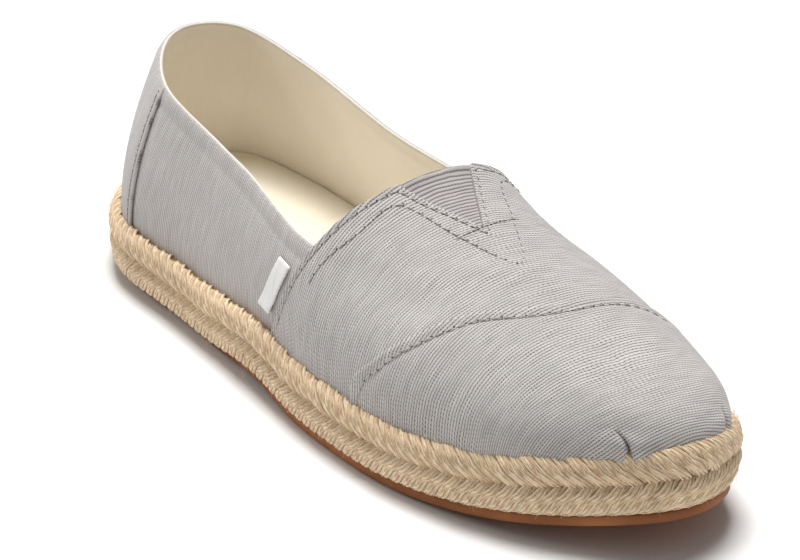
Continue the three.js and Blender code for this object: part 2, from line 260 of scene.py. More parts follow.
# The distance of every point to a path, in as many directions as both have
def nearest(points, path):
    flat = points.reshape(-1, points.shape[-1])
    far = np.empty(len(flat))
    for k in range(0, len(flat), 2000):
        far[k:k + 2000] = np.linalg.norm(flat[k:k + 2000, None] - path[None], axis=-1).min(1)
    return far.reshape(points.shape[:-1])


# A path's points again at an even pitch
def even(path, pitch):
    path = np.asarray(path, float)
    run = walked(path[:, :3])
    wanted = np.linspace(0, run[-1], max(2, round(run[-1] / pitch) + 1))
    return np.stack([np.interp(wanted, run, path[:, k]) for k in range(path.shape[1])], -1)


# A rounded path through a few corners
def curved(corners, pitch=1.0):
    corners = np.asarray(corners, float)
    run = walked(corners)
    fine = np.linspace(0, run[-1], 400)
    rows = [along(fine, list(zip(run, corners[:, k]))) for k in range(corners.shape[1])]
    return even(np.stack(rows, -1), pitch)


print("last ready, perimeter %.0f mm" % perimeter)


# Meshes
def toMesh(name, points, faces, uvs=None, mats=(), tags=None):
    mesh = bpy.data.meshes.new(name)
    mesh.from_pydata(((np.asarray(points) + toRow) * mm).tolist(), [], [list(map(int, f)) for f in faces])
    if uvs is not None:
        loops = np.empty(len(mesh.loops), int)
        mesh.loops.foreach_get("vertex_index", loops)
        flat = (np.asarray(uvs)[loops] * mm).astype(np.float32).ravel()
        mesh.uv_layers.new(name="weave").data.foreach_set("uv", flat)
    for key, values in (tags or {}).items():
        layer = mesh.attributes.new(key, "FLOAT", "POINT")
        layer.data.foreach_set("value", np.asarray(values, np.float32))
    for m in mats:
        mesh.materials.append(m)
    mesh.polygons.foreach_set("use_smooth", [True] * len(mesh.polygons))
    made = bpy.data.objects.new(name, mesh)
    bpy.context.scene.collection.objects.link(made)
    return made


# Merges doubled points and turns the faces outwards
def cleaned(made, distance=2e-6):
    bm = bmesh.new()
    bm.from_mesh(made.data)
    bmesh.ops.remove_doubles(bm, verts=bm.verts, dist=distance)
    bmesh.ops.dissolve_degenerate(bm, edges=bm.edges, dist=distance / 4)
    bmesh.ops.recalc_face_normals(bm, faces=bm.faces)
    bm.to_mesh(made.data)
    bm.free()
    return made


def quads(n, m, first=0):
    i, j = np.meshgrid(np.arange(n - 1), np.arange(m - 1), indexing="ij")
    a = (first + i * m + j).ravel()
    return np.stack([a, a + m, a + m + 1, a + 1], -1)


# A closed piece of cloth between an outer and an inner grid of points, with rounded rims
def clothShell(name, outer, inner, uv, outerLook, innerLook, rims=("start", "end", "low", "high")):
    bulge = 0.3  # how far a rim rounds out, as a share of the cloth's thickness
    n, m = outer.shape[:2]
    grid = np.arange(n * m).reshape(n, m)
    flat, under, flatUv = outer.reshape(-1, 3), inner.reshape(-1, 3), uv.reshape(-1, 2)
    points, uvs = [flat, under], [flatUv, flatUv]
    front, back = quads(n, m), quads(n, m, n * m)[:, ::-1]
    faces = [front, back]
    lining = [0] * len(front) + [1] * len(back)
    sides = {"start": (grid[0], grid[1]), "end": (grid[-1], grid[-2]),
             "low": (grid[:, 0], grid[:, 1]), "high": (grid[:, -1], grid[:, -2])}
    base = 2 * n * m
    ends = {}
    for key in rims:
        rim, behind = sides[key]
        out = flat[rim] - flat[behind]
        out /= np.linalg.norm(out, axis=1, keepdims=True) + 1e-9
        thick = np.linalg.norm(flat[rim] - under[rim], axis=1, keepdims=True)
        for level in (0.15, 0.5, 0.85):
            swell = bulge * math.sin(math.pi * level)
            points.append(flat[rim] * (1 - level) + under[rim] * level + out * thick * swell)
            uvs.append(flatUv[rim])
        ids = [rim] + [base + k * len(rim) + np.arange(len(rim)) for k in range(3)] + [rim + n * m]
        for k in range(4):
            a, b = ids[k], ids[k + 1]
            faces.append(np.stack([a[:-1], a[1:], b[1:], b[:-1]], -1))
            lining += [0 if k < 3 else 1] * (len(rim) - 1)
        ends[key] = [[row[0] for row in ids], [row[-1] for row in ids]]
        base += 3 * len(rim)
    corners = []  # what two rims leave open where they meet
    for i, row in enumerate(("start", "end")):
        for k, column in enumerate(("low", "high")):
            if row in ends and column in ends:
                p, q = ends[row][k], ends[column][i]
                corners += [[p[0], p[1], q[1]], [p[1], p[2], q[2], q[1]]]
                corners += [[p[2], p[3], q[3], q[2]], [p[3], p[4], q[3]]]
    faces = np.vstack(faces).tolist() + corners
    made = toMesh(name, np.vstack(points), faces, np.vstack(uvs), (outerLook, innerLook))
    made.data.polygons.foreach_set("material_index", lining + [0] * len(corners))
    return cleaned(made)


# A closed body from rings round the sole, (inset, height) lowest first, closed on the centre line
def ringBody(name, rings, look, count=240):
    share = np.arange(count) / count
    points, faces = [], []
    for inset, height in rings:
        p = edge(share, inset(share) if callable(inset) else inset + share * 0)
        points.append(np.concatenate([p, height(p[:, 0])[:, None]], 1))
    for height in (rings[0][1], rings[-1][1]):
        p = spine(share)
        p[[0, count // 2]] = p[[1, count // 2 - 1]]  # so no two faces lie back to back at the ends
        points.append(np.concatenate([p, height(p[:, 0])[:, None]], 1))
    points = np.array(points).reshape(-1, 3)
    n = len(rings)
    here = np.arange(count)
    there = (here + 1) % count
    for a, b in [(r, r + 1) for r in range(n - 1)] + [(n - 1, n + 1), (n, 0)]:
        lower, upper = a * count, b * count
        faces.append(np.stack([lower + here, lower + there, upper + there, upper + here], -1))
    return cleaned(toMesh(name, points, np.vstack(faces), points[:, :2], (look,)))


# Rings of points round a path, as wide as widths says, and the faces of a closed tube over them
def tubePoints(path, widths, sides, outwards=(0, 0, 1.0)):
    path = np.asarray(path, float)
    run = np.gradient(path, axis=0)
    run /= np.linalg.norm(run, axis=1, keepdims=True)
    across = np.cross(run, outwards)
    across /= np.linalg.norm(across, axis=1, keepdims=True)
    up = np.cross(across, run)
    turn = np.arange(sides) / sides * full
    ring = across[:, None] * np.cos(turn)[None, :, None] + up[:, None] * np.sin(turn)[None, :, None]
    return (path[:, None] + ring * np.asarray(widths)[:, None, None]).reshape(-1, 3)


def tubeFaces(count, sides, first=0):
    i = np.arange(count - 1)[:, None] * sides + first
    k = np.arange(sides)[None]
    j = (k + 1) % sides
    faces = np.stack([i + k, i + sides + k, i + sides + j, i + j], -1).reshape(-1, 4).tolist()
    last = first + (count - 1) * sides
    return faces + [[first + s for s in range(sides)], [last + s for s in range(sides)][::-1]]


def tube(name, path, radius, look, sides=10):
    points = tubePoints(path, np.full(len(path), radius), sides)
    turn = np.arange(sides) / sides * full * radius
    uvs = np.stack([np.repeat(walked(path), sides), np.tile(turn, len(path))], -1)
    return cleaned(toMesh(name, points, tubeFaces(len(path), sides), uvs, (look,)))


# Node graphs, for materials and for geometry
class Link:
    def __init__(self, graph, node, socket):
        self.graph, self.node, self.socket = graph, node, socket

    def out(self, key):
        return Link(self.graph, self.node, self.node.outputs[key])

    def __add__(self, other):
        return self.graph.maths("ADD", self, other)

    def __sub__(self, other):
        return self.graph.maths("SUBTRACT", self, other)

    def __rsub__(self, other):
        return self.graph.maths("SUBTRACT", other, self)

    def __mul__(self, other):
        return self.graph.maths("MULTIPLY", self, other)

    def __truediv__(self, other):
        return self.graph.maths("DIVIDE", self, other)

    __radd__ = __add__


class Graph:
    def __init__(self, tree):
        self.tree = tree
        tree.nodes.clear()

    def add(self, kind, settings=(), inputs=(), out=0):
        node = self.tree.nodes.new(kind)
        for key, value in dict(settings).items():
            setattr(node, key, value)
        for key, value in dict(inputs).items():
            self.put(node.inputs[key], value)
        return Link(self, node, node.outputs[out]) if len(node.outputs) else node

    def put(self, socket, value):
        if isinstance(value, Link):
            self.tree.links.new(value.socket, socket)
        else:
            socket.default_value = value

    def maths(self, operation, *values):
        return self.add("ShaderNodeMath", {"operation": operation}, dict(enumerate(values)))

    def vector(self, x, y, z=0.0):
        return self.add("ShaderNodeCombineXYZ", inputs={0: x, 1: y, 2: z})

    def noise(self, place, scale, detail=2.0, rough=0.5):
        return self.add("ShaderNodeTexNoise",
                        inputs={"Vector": place, "Scale": scale, "Detail": detail, "Roughness": rough})

    def wave(self, phase):
        return self.maths("COSINE", phase * full) * 0.5 + 0.5

    def between(self, value, low, high):
        return self.add("ShaderNodeMapRange", {"interpolation_type": "SMOOTHSTEP"},
                        {"Value": value, "From Min": low, "From Max": high})

    def mix(self, factor, a, b, blend="MIX"):
        return self.add("ShaderNodeMix", {"data_type": "RGBA", "blend_type": blend},
                        {0: factor, 6: a, 7: b}, out=2)


# A colour from its 0 to 255 values as seen on screen
def paint(red, green, blue):
    def linear(v):
        v /= 255
        return v / 12.92 if v <= 0.04045 else ((v + 0.055) / 1.055) ** 2.4
    return (linear(red), linear(green), linear(blue), 1.0)


# A material from a function that gets the graph and gives colour, roughness and height in metres
def material(name, build, sheen=0.0, specular=0.3):
    made = bpy.data.materials.new(name)
    made.use_nodes = True
    g = Graph(made.node_tree)
    colour, roughness, height = build(g)
    inputs = {"Base Color": colour, "Roughness": roughness, "Specular IOR Level": specular,
              "Sheen Weight": sheen, "Sheen Roughness": 0.5}
    if height is not None:
        inputs["Normal"] = g.add("ShaderNodeBump", inputs={"Height": height, "Distance": 1.0})
    shader = g.add("ShaderNodeBsdfPrincipled", inputs=inputs)
    g.add("ShaderNodeOutputMaterial", inputs={"Surface": shader})
    return made


def objectPlace(g):
    return g.add("ShaderNodeTexCoord").out("Object")


def weavePlace(g):
    split = g.add("ShaderNodeSeparateXYZ", inputs={0: g.add("ShaderNodeUVMap", {"uv_map": "weave"})})
    return split.out(0) * (1 / mm), split.out(1) * (1 / mm)


# How far the weave of every cloth strays, in mm, and how strong its grain and clouds are
weave = {"ribSway": 1.2, "threadSway": 1.4, "slip": 1.6, "rowSpread": 7.31, "grain": 0.45, "clouds": 0.06}


# Woven cloth on the uv map: ribs at every rib millimetres, threads across them that fill the gaps in dashes.
# Its colour runs from low down in the gaps to high on top, so the darker gaps are painted shade
def wovenLook(name, low, high, rib=1.1, thread=0.9, dots=0.6, relief=0.12, slub=0.35):
    def build(g):
        place = objectPlace(g)
        u, v = weavePlace(g)
        u = u + (g.noise(place, 110.0, 3.0) - 0.5) * weave["ribSway"]
        v = v + (g.noise(place, 150.0, 2.0) - 0.5) * weave["threadSway"]
        row = g.maths("FLOOR", u / rib + 0.5)
        perRow = g.noise(g.vector(row * weave["rowSpread"], v * 0.11), 1.0, 2.0)
        ribs = g.wave(u / rib)
        threads = g.wave(v / thread + row * 0.5 + (perRow - 0.5) * weave["slip"])
        grain = g.noise(g.vector(u * 2.6, v * 2.1), 1.0, 3.0, 0.65)
        gap = 1 - ribs
        height = 1 - gap * gap * (1 - threads * dots) + (perRow - 0.5) * slub
        height = height + (grain - 0.5) * weave["grain"]
        # Colour by height: darker down in the gaps between threads, as painted shade
        colour = g.mix(g.between(height, 0.0, 1.1), paint(*low), paint(*high))
        cloud = g.between(g.noise(place, 35.0, 3.0), 0.3, 0.7) * weave["clouds"]
        tone = cloud + perRow * slub * 0.7 + 0.95 - slub * 0.3
        colour = g.mix(1.0, colour, g.vector(tone, tone, tone), "MULTIPLY")
        return colour, 0.92, height * (relief * mm)
    return material(name, build, sheen=0.15, specular=0.2)


def juteBuild(g):
    place = objectPlace(g)
    u, v = weavePlace(g)
    fibres = g.noise(g.vector(u * 4.0 + v * 0.7, v * 0.4), 1.0, 4.0, 0.75)
    locks = g.noise(g.vector(u * 1.3 + v * 0.3, v * 0.12), 1.0, 2.0)
    height = fibres * 0.9 + locks * 0.5
    # Colour by fibre height: the dark grooves between fibres are painted shade, laid over the fibres' own
    # streaks
    colour = g.mix(g.between(height, 0.5, 0.88), paint(180, 138, 92), paint(253, 235, 204))
    tone = g.noise(place, 260.0, 2.0) * 0.4 + g.noise(place, 45.0, 2.0) * 0.2 + 0.8
    return g.mix(1.0, colour, g.vector(tone, tone, tone), "MULTIPLY"), 0.95, height * (0.3 * mm)


def rubberBuild(g):
    place = objectPlace(g)
    cloud = g.between(g.noise(place, 60.0, 2.0), 0.3, 0.7)
    # Both tones are darkened as painted shade for the shadow the rubber lies in at the bottom of the sole;
    # the cloud between them is random
    colour = g.mix(cloud, paint(140, 84, 46), paint(166, 106, 62))
    return colour, 0.7, g.noise(place, 900.0, 3.0) * (0.05 * mm)


def coreBuild(g):
    grain = g.noise(objectPlace(g), 700.0, 3.0)
    return g.mix(grain, paint(140, 108, 70), paint(184, 150, 108)), 1.0, grain * (0.3 * mm)


def threadBuild(g):
    dark = g.add("ShaderNodeAttribute", {"attribute_name": "dark"}, out="Fac")
    grain = g.noise(objectPlace(g), 2500.0, 2.0)
    light = g.mix(grain, paint(176, 171, 166), paint(210, 206, 202))
    # The hole discs get a dark colour: painted shade where the thread goes into the cloth
    return g.mix(dark, light, paint(78, 73, 70)), 0.9, None


# In each woven look the first colour, used down in the weave's gaps, carries painted shade
looks = {
    "quarter": wovenLook("quarterCanvas", (128, 123, 120), (206, 201, 198), rib=0.9, relief=0.1),
    "vamp": wovenLook("vampCanvas", (86, 82, 79), (207, 202, 199), rib=0.85, thread=1.1, dots=0.75,
                      relief=0.15),
    "gore": wovenLook("goreElastic", (112, 107, 104), (188, 182, 181), dots=0.3, relief=0.14),
    "lining": wovenLook("liningCotton", (252, 240, 222), (255, 248, 235), rib=0.7, thread=0.7, relief=0.02,
                        slub=0.06),
    "insole": wovenLook("insoleCloth", (234, 225, 204), (244, 236, 218), rib=0.9, relief=0.03, slub=0.06),
    "piping": wovenLook("pipingCord", (212, 204, 190), (236, 230, 220), rib=0.5, thread=0.5, relief=0.04),
    "tab": wovenLook("tabTape", (220, 218, 214), (250, 249, 247), rib=0.5, thread=0.5, relief=0.05),
    "patch": wovenLook("patchTwill", (50, 84, 92), (80, 114, 122), rib=0.55, thread=0.5, relief=0.05),
    "jute": material("juteFibre", juteBuild, sheen=0.2, specular=0.15),
    "rubber": material("soleRubber", rubberBuild, specular=0.35),
    "core": material("juteCore", coreBuild, specular=0.1),
    "thread": material("stitchThread", threadBuild),
    "floor": material("studioFloor", lambda g: ((0.9, 0.9, 0.9, 1.0), 0.9, None)),
}
print("materials ready")


# Instances a small mesh on points that know their way along and their way up
def scatterTree(name, source, look):
    tree = bpy.data.node_groups.new(name, "GeometryNodeTree")
    for key, kind in (("Geometry", "Geometry"), ("Spread", "Float"), ("Seed", "Int")):
        tree.interface.new_socket(key, in_out="INPUT", socket_type="NodeSocket" + kind)
    tree.interface.new_socket("Geometry", in_out="OUTPUT", socket_type="NodeSocketGeometry")
    g = Graph(tree)
    given = g.add("NodeGroupInput")
    spread, seed = given.out("Spread"), given.out("Seed")

    def named(key):
        return g.add("GeometryNodeInputNamedAttribute", {"data_type": "FLOAT_VECTOR"}, {"Name": key})

    def loose(shift):
        return g.add("FunctionNodeRandomValue", {"data_type": "FLOAT"},
                     {2: -1.0, 3: 1.0, "Seed": seed + shift}, out=1) * spread

    upright = g.add("FunctionNodeAlignRotationToVector", {"axis": "Z"}, {"Vector": named("up")})
    turned = g.add("FunctionNodeAlignRotationToVector", {"axis": "X", "pivot_axis": "Z"},
                   {"Rotation": upright, "Vector": named("run")})
    size = g.add("ShaderNodeVectorMath", {"operation": "SCALE"}, {0: named("size"), "Scale": 1 + loose(4)})
    single = g.add("GeometryNodeObjectInfo", {"transform_space": "ORIGINAL"}, {"Object": source},
                   out="Geometry")
    placed = g.add("GeometryNodeInstanceOnPoints", inputs={
        "Points": given.out("Geometry"), "Instance": single, "Rotation": turned, "Scale": size})
    shaken = g.add("GeometryNodeRotateInstances", inputs={
        "Instances": placed, "Rotation": g.vector(loose(1), loose(2), loose(3))})
    real = g.add("GeometryNodeRealizeInstances", inputs={"Geometry": shaken})
    dressed = g.add("GeometryNodeSetMaterial", inputs={"Geometry": real, "Material": look})
    g.add("NodeGroupOutput", inputs={"Geometry": dressed})
    return tree


# A source mesh on every point, turned and sized by them and shaken by spread, as one plain mesh
def scatter(name, points, run, up, size, source, look, spread, seed):
    holder = toMesh(name + "Points", points, [])
    for key, values in (("run", run), ("up", up), ("size", size)):
        layer = holder.data.attributes.new(key, "FLOAT_VECTOR", "POINT")
        values = np.broadcast_to(np.asarray(values, np.float32), (len(points), 3))
        layer.data.foreach_set("vector", np.ascontiguousarray(values).ravel())
    tree = scatterTree(name + "Scatter", source, look)
    live = holder.modifiers.new("scatter", "NODES")
    live.node_group = tree
    ids = {s.name: s.identifier for s in tree.interface.items_tree if s.in_out == "INPUT"}
    live[ids["Spread"]] = float(spread)
    live[ids["Seed"]] = int(seed)
    graph = bpy.context.evaluated_depsgraph_get()
    mesh = bpy.data.meshes.new_from_object(holder.evaluated_get(graph), depsgraph=graph)
    mesh.name = name
    made = bpy.data.objects.new(name, mesh)
    bpy.context.scene.collection.objects.link(made)
    mesh.polygons.foreach_set("use_smooth", [True] * len(mesh.polygons))
    bpy.data.objects.remove(holder)
    print(name, len(mesh.polygons), "faces")
    return made


# A small mesh to be repeated, in mm round its own origin
def seedling(name, points, faces, uvs=None, tags=None):
    return toMesh(name, np.asarray(points, float) - toRow, faces, uvs, (), tags)


# Rubber outsole: it shows most round the toe and tucks further in behind it
rubberSizes = {"toeInset": 2.1, "tuck": 1.9, "toeShare": 0.22, "easeShare": 0.12}


def rubberInset(share):
    behind = (np.abs(share - 0.5) - rubberSizes["toeShare"]) / rubberSizes["easeShare"]
    return rubberSizes["toeInset"] + rubberSizes["tuck"] * ease(behind)


outsole = ringBody("outsoleRubber", [
    (lambda s: rubberInset(s) + 1.4, lift),
    (lambda s: rubberInset(s) + 0.4, lambda x: lift(x) + 0.15),
    (rubberInset, lambda x: lift(x) + 0.7),
    (rubberInset, lambda x: lift(x) + 2.4),
    (lambda s: rubberInset(s) + 0.4, lambda x: lift(x) + shoe["rubber"]),
], looks["rubber"])

# Jute: a core with two rows of plaited strands round it
strands = round(perimeter / shoe["strandPitch"] / 2) * 2
juteSizes = {
    "yarns": 5, "yarnRadius": 0.52, "yarnPitch": 0.9, "sides": 8, "steps": 13,
    "sweep": 0.35, "gather": 0.2, "crown": 0.24, "fan": 0.4, "fanShare": 0.45, "thin": 0.35, "shake": 0.03,
}
core = ringBody("juteCore", [
    (3.4, juteBottom),
    (2.6, lambda x: juteBottom(x) + 0.4),
    (1.9, lambda x: juteBottom(x) + shoe["jute"] * 0.25),
    (3.6, lambda x: juteBottom(x) + shoe["jute"] * 0.5),
    (1.9, lambda x: juteBottom(x) + shoe["jute"] * 0.75),
    (2.6, lambda x: juteTop(x) - 1.4),
    (3.4, lambda x: juteTop(x) - 1.0),
], looks["core"])


# A bundle of yarns from the sole's edge to the middle groove, profile rows: share, depth inwards, height
def strandBundle(name, profile):
    size = juteSizes
    t = np.linspace(0, 1, size["steps"])
    depth = along(t, [(a, d) for a, d, z in profile])
    height = along(t, [(a, z) for a, d, z in profile])
    lean = shoe["strandPitch"] * shoe["strandRun"] * (t - size["sweep"] * (1 - t) ** 2)
    centre = np.stack([lean, depth, height], -1)
    slope = size["fan"] if profile[0][2] > profile[-1][2] else -size["fan"]
    points, faces, uvs = [], [], []
    for k in range(size["yarns"]):
        off = (k - (size["yarns"] - 1) / 2) * size["yarnPitch"]
        path = centre.copy()
        path[:, 0] += off * (1 - size["gather"] * t**6)
        path[:, 1] += size["crown"] * off**2
        path[:, 2] += slope * off * ease(t / size["fanShare"])
        widths = size["yarnRadius"] * (1 - size["thin"] * t**8)
        faces += tubeFaces(len(t), size["sides"], sum(len(p) for p in points))
        points.append(tubePoints(path, widths, size["sides"], (0, -1.0, 0)))
        turn = np.arange(size["sides"]) / size["sides"] * full * size["yarnRadius"]
        v = np.repeat(walked(path), size["sides"]) + k * 9.7
        uvs.append(np.stack([np.tile(turn, len(t)) + k * 5.3, v], -1))
    return seedling(name, np.vstack(points), faces, np.vstack(uvs))


middle = shoe["jute"] / 2
upperBundle = strandBundle("upperBundle", [
    (0.0, 4.2, 2 * middle - 1.6), (0.14, 2.7, 2 * middle - 0.72), (0.3, 1.3, 2 * middle - 1.6),
    (0.5, 0.8, 2 * middle - 3.7), (0.75, 0.8, middle + 2.1), (1.0, 2.1, middle - 0.5),
])
lowerBundle = strandBundle("lowerBundle", [
    (0.0, 3.4, 0.2), (0.14, 2.0, 0.0), (0.3, 1.3, 1.0),
    (0.5, 0.8, 3.7), (0.75, 0.8, middle - 2.1), (1.0, 2.3, middle + 0.5),
])


def plaitRow(name, source, seed):
    share = np.arange(strands) / strands
    at, run = edgeRun(share)
    x = at[:, 0]
    ahead, behind = edge(share + 0.002), edge(share - 0.002)
    points = np.concatenate([at, juteBottom(x)[:, None]], 1)
    way = np.concatenate([ahead - behind, (juteBottom(ahead[:, 0]) - juteBottom(behind[:, 0]))[:, None]], 1)
    tall = (juteTop(x) - juteBottom(x)) / shoe["jute"]
    size = np.stack([tall * 0 + 1, tall * 0 + 1, tall], 1)
    up = np.cross(np.cross(way, (0, 0, 1.0)), way)
    return scatter(name, points, way, up, size, source, looks["jute"], juteSizes["shake"], seed)


plaitUpper = plaitRow("plaitUpper", upperBundle, 3)
plaitLower = plaitRow("plaitLower", lowerBundle, 4)

# Loose fibres that stand off the plait
fibreSizes = {
    "count": 3400, "radius": 0.055, "length": 4.0, "inset": 0.9, "low": 0.04, "reach": 0.95, "crowdUp": 0.7,
    "tilt": 1.3, "stray": 0.25, "bow": 0.5, "curl": 3.5, "root": 0.15, "standOff": 0.9, "taper": 0.5,
    "least": 0.4, "most": 1.3, "shake": 0.3, "steps": 6, "sides": 3,
}
draw = np.random.default_rng(11)
share = draw.random(fibreSizes["count"])
at, run = edgeRun(share, fibreSizes["inset"])
level = draw.random(len(share)) ** fibreSizes["crowdUp"]
z = juteBottom(at[:, 0]) + shoe["jute"] * (fibreSizes["low"] + fibreSizes["reach"] * level)
outwards = np.stack([run[:, 1], -run[:, 0]], 1)
angle = draw.uniform(-fibreSizes["tilt"], fibreSizes["tilt"], len(share))
way = np.concatenate([run * np.cos(angle)[:, None], np.sin(angle)[:, None]], 1)
up = np.concatenate([outwards, draw.normal(0, fibreSizes["stray"], (len(share), 1))], 1)
arc = np.linspace(0, 1, fibreSizes["steps"])
fibreBow = fibreSizes["bow"] * np.sin(arc * fibreSizes["curl"])
fibreRise = fibreSizes["root"] + fibreSizes["standOff"] * arc**2
fibrePath = np.stack([(arc - 0.5) * fibreSizes["length"], fibreBow, fibreRise], -1)
fibreWidths = fibreSizes["radius"] * (1 - fibreSizes["taper"] * arc)
fibreRing = tubePoints(fibrePath, fibreWidths, fibreSizes["sides"])
fibre = seedling("fibre", fibreRing, tubeFaces(len(arc), fibreSizes["sides"]),
                 np.zeros((len(fibreRing), 2)))
grow = np.repeat(draw.uniform(fibreSizes["least"], fibreSizes["most"], (len(share), 1)), 3, 1)
strayFibres = scatter("strayFibres", np.concatenate([at, z[:, None]], 1), way, up, grow, fibre,
                      looks["jute"], fibreSizes["shake"], 5)
print("sole ready,", strands, "strands a row")

# Insole: it meets the lining and lies a little lower in its middle
insoleGap = 0.05
insoleEdge = featherInset + shoe["canvas"] + insoleGap
insolePad = ringBody("insolePad", [
    (insoleEdge, feather),
    (insoleEdge, lambda x: feather(x) + 1.2),
    (insoleEdge + 0.5, lambda x: feather(x) + 1.8),
    (insoleEdge + 1.5, lambda x: feather(x) + shoe["insole"]),
    (insoleEdge + 9, lambda x: feather(x) + shoe["insole"] * 0.9),
], looks["insole"])


# Quarters: the rear canvas, from under the vamp round the heel, with its rolled collar and cream lining
def wallUv(points, share):
    slantLength = 1.05  # of the wall, for each mm of height
    u = np.broadcast_to(share, points.shape[:-1]) * perimeter
    return np.stack([u, points[..., 2] * slantLength], -1)


quarterSizes = {
    "end": 0.6 * length, "endHeight": 0.8 * shoe["junction"], "columns": 260, "rows": 44, "roll": 0.35,
    "rollAt": 1.2, "rollWidth": 1.6, "seamDepth": 0.25, "seamAt": 4.2, "seamWidth": 0.7,
}
front = sideShare(quarterSizes["end"], quarterSizes["endHeight"])
back = sideShare(quarterSizes["end"], quarterSizes["endHeight"], inner=True)
share = np.linspace(back - 1, front, quarterSizes["columns"])[:, None]
top = collarClimb(share % 1)
rows = 1 - (1 - np.linspace(0, 1, quarterSizes["rows"])) ** 1.3
climb = top * rows[None]
flatWall = lastPoint(share % 1, climb)
fromCollar = lastPoint(share % 1, top)[..., 2] - flatWall[..., 2]
rolled = quarterSizes["roll"] * bell(fromCollar - quarterSizes["rollAt"], quarterSizes["rollWidth"])
seam = bell(fromCollar - quarterSizes["seamAt"], quarterSizes["seamWidth"])
rolled = rolled - quarterSizes["seamDepth"] * seam
outer = lastPoint(share % 1, climb, rolled)
inner = lastPoint(share % 1, climb, rolled * 0.5 - shoe["canvas"])
quarters = clothShell("quarters", outer, inner, wallUv(flatWall, share), looks["quarter"], looks["lining"])

pipingSizes = {"radius": 0.5, "inset": 0.9, "rise": 0.15, "pitch": 1.5}
pipingPath = lastPoint(share[:, 0] % 1, top[:, 0], -pipingSizes["inset"]) + (0, 0, pipingSizes["rise"])
pipingPath = even(pipingPath, pipingSizes["pitch"])
piping = tube("collarPiping", pipingPath, pipingSizes["radius"], looks["piping"])
print("quarters ready")


# Vamp and toe panel
def topUv(p):
    overFrom, overRun = 0.82, 0.12  # the share of length where the cloth turns down over the toe
    downToe, downSide, crown = 0.8, 0.85, 6
    x, y = p[..., 0], p[..., 1]
    fall = along(x / length, crestLine) - p[..., 2]
    overToe = ease((x / length - overFrom) / overRun)
    return np.stack([x + downToe * overToe * fall, y + downSide * np.tanh(y / crown) * fall], -1)


# Soft creases: corners as seen from above, width and height, in mm
def creased(points, rows):
    total = np.zeros(points.shape[:-1])
    for corners, width, height in rows:
        total += height * bell(nearest(points[..., :2], curved(corners, 0.8)), width)
    return total


# How far a cloth lies above the last: its lift, with a hem and a seam's groove along an edge
def hemmed(size, far, hem=1.0):
    grow = size["lift"] + size["hem"] * hem * ease(1 - far / size["hemWidth"])
    return grow - size["seam"] * bell(far - size["seamAt"], size["seamWidth"])


wSteps = np.unique(np.r_[np.linspace(-1, 1, 181), 0])  # across the front, from the outer sole to the inner
edgePitch = 0.5  # of the edges that hems and seams are measured from, in mm


# Eases the shallow ditch along the crest out of a grid of points, by as much as each row's share
def settled(grid, shares=1.0, width=0.2, rounds=120):
    weight = (0.5 * bell(wSteps, width) * shares)[..., 1:-1, None]
    for _ in range(rounds):
        grid[:, 1:-1] += weight * ((grid[:, :-2] + grid[:, 2:]) / 2 - grid[:, 1:-1])
    return grid


vampSizes = {
    "rows": 96, "lift": 1.1, "thick": 1.9, "hem": 0.25, "hemWidth": 1.3, "seam": 0.12, "seamAt": 1.7,
    "seamWidth": 0.7, "crestHem": 0.2, "crestWidth": 14.0, "underToe": 3.0,
}
vampCreases = [
    ([(150, -30), (164, -27), (176, -24)], 4.0, -0.6),
    ([(152, 30), (166, 28), (178, 24)], 4.0, -0.6),
    ([(168, -18), (176, -8), (182, 2)], 5.0, 0.5),
]
w = wSteps[None]
i0, i1 = rearEdge(w), toeEdge(w, vampSizes["underToe"])
t = np.linspace(0, 1, vampSizes["rows"])[:, None] ** 1.15
half = i0 + (i1 - i0) * t
firm = ease(t / 0.6 - 0.6)  # the notch keeps its shape
flatVamp = settled(strip(half, w, vampSizes["lift"]), firm)
rearPath = strip(i0, w, vampSizes["lift"])[0]
fromRear = nearest(flatVamp, even(rearPath, edgePitch))
flatter = 1 - (1 - vampSizes["crestHem"]) * bell(flatVamp[..., 1] - 2, vampSizes["crestWidth"])
grow = hemmed(vampSizes, fromRear, flatter) + creased(flatVamp, vampCreases)
vampCloth = clothShell("vampCloth", settled(strip(half, w, grow), firm),
                       settled(strip(half, w, grow - vampSizes["thick"]), firm),
                       topUv(flatVamp), looks["vamp"], looks["lining"])

toeSizes = {
    "rows": 130, "crowd": 7, "crowdAt": 0.47, "crowdWidth": 0.013, "lift": 1.5, "thick": 1.1, "hem": 0.3,
    "hemWidth": 2.0, "seam": 0.3, "seamAt": 2.8, "seamWidth": 0.8,
}
toeCreases = [
    ([(206, -32), (220, -25), (230, -17), (236, -10)], 4.5, 0.9),
    ([(206, 34), (220, 32), (230, 27), (236, 21)], 4.5, 0.7),
    ([(226, -9), (234, -6), (242, -3)], 3.5, 0.6),
]


# The two small pleats at the toe: the cloth bulges either side of a sharp line that rises from the rope.
# Rows: share round the foot at the rope and at the top, climb of the top, bulge, depth of the line
toePleats = [(0.478, 0.47, 0.31, 1.3, 3.0), (0.536, 0.543, 0.31, 1.1, 2.6)]
pleatSizes = {"bulgeWidth": 7, "lineWidth": 0.5, "fade": 1.7, "atRope": 0.35, "deepen": 2.5}


def pleated(share, climb):
    total = np.zeros(np.broadcast(share, climb).shape)
    for base, top, reach, swell, sink in toePleats:
        t = np.clip(climb / reach, 0, 1)
        away = (share - base - (top - base) * t**3) * perimeter
        bulge = swell * bell(away, pleatSizes["bulgeWidth"])
        line = sink * np.exp(-np.abs(away) / pleatSizes["lineWidth"])
        line = line * ease(pleatSizes["atRope"] + pleatSizes["deepen"] * t)
        total += ease(pleatSizes["fade"] * (1 - t)) * (bulge - line)
    return total


# From the seam to the tip, with more rows beside the pleats
def toeRows(start):
    fine = np.linspace(start, 0.5, 600)
    crowd = np.cumsum(1 + toeSizes["crowd"] * bell(fine - toeSizes["crowdAt"], toeSizes["crowdWidth"]))
    return np.interp(np.linspace(crowd[0], crowd[-1], toeSizes["rows"]), crowd, fine)


